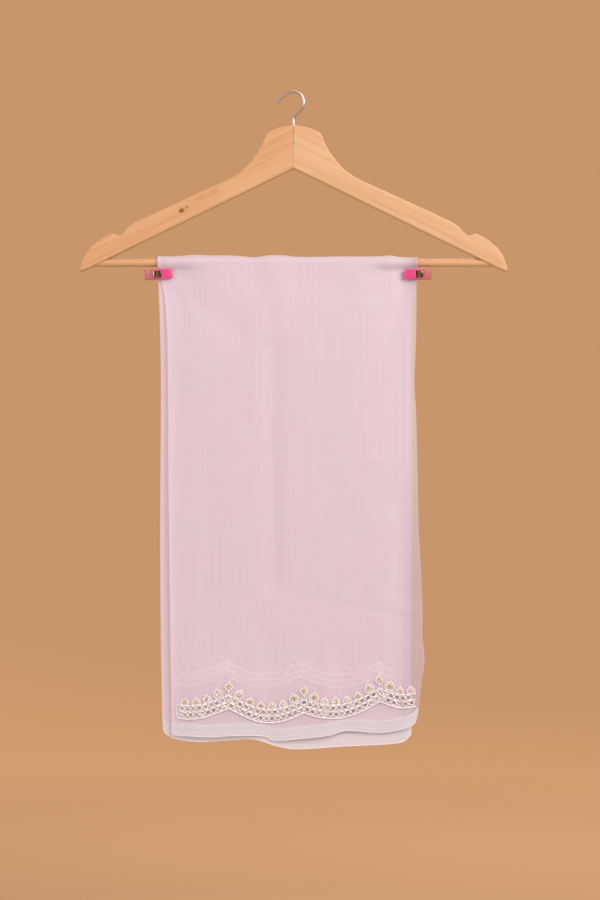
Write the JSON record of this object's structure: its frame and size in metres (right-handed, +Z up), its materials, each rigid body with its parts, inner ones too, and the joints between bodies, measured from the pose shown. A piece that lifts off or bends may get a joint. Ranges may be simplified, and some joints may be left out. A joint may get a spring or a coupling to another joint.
{
  "type": "folded organza saree on a wooden hanger",
  "caption": "Pale pink organza saree with a scalloped sequin border, folded and hung over the bar of a flat wooden hanger, held by small clips.",
  "frame": {"origin": "inside top of the wire hook's bend, where it bears on a rail", "axes": "+X to the viewer's right along the bar, +Y away from the viewer, +Z up"},
  "size_m": [0.445, 0.0267, 0.684],
  "materials": {
    "organza": "sheer crisp weave with a soft sheen",
    "organza_second": "sheer crisp weave with a soft sheen",
    "organza_folds": "stacked sheer folds, nearly opaque",
    "border_beadwork": "thread, beads and gold sequins",
    "wood_left": "clear satin varnish",
    "wood_right": "clear satin varnish",
    "dowel": "clear satin varnish",
    "hook_wire": "bright zinc-plated wire",
    "clip_plastic": "glossy, slightly translucent",
    "clip_spring": "polished spring steel"
  },
  "bodies": {
    "root": {"saree_outer_panel": "organza", "saree_second_panel": "organza_second", "saree_inner_folds": "organza_folds", "border_front": "border_beadwork", "border_back": "border_beadwork", "hanger_arm_left": "wood_left", "hanger_arm_right": "wood_right", "hanger_bar": "dowel", "hanger_hook": "hook_wire", "clip_left_front_jaw": "clip_plastic", "clip_left_back_jaw": "clip_plastic", "clip_left_spring": "clip_spring", "clip_right_front_jaw": "clip_plastic", "clip_right_back_jaw": "clip_plastic", "clip_right_spring": "clip_spring"}
  },
  "joints": []
}
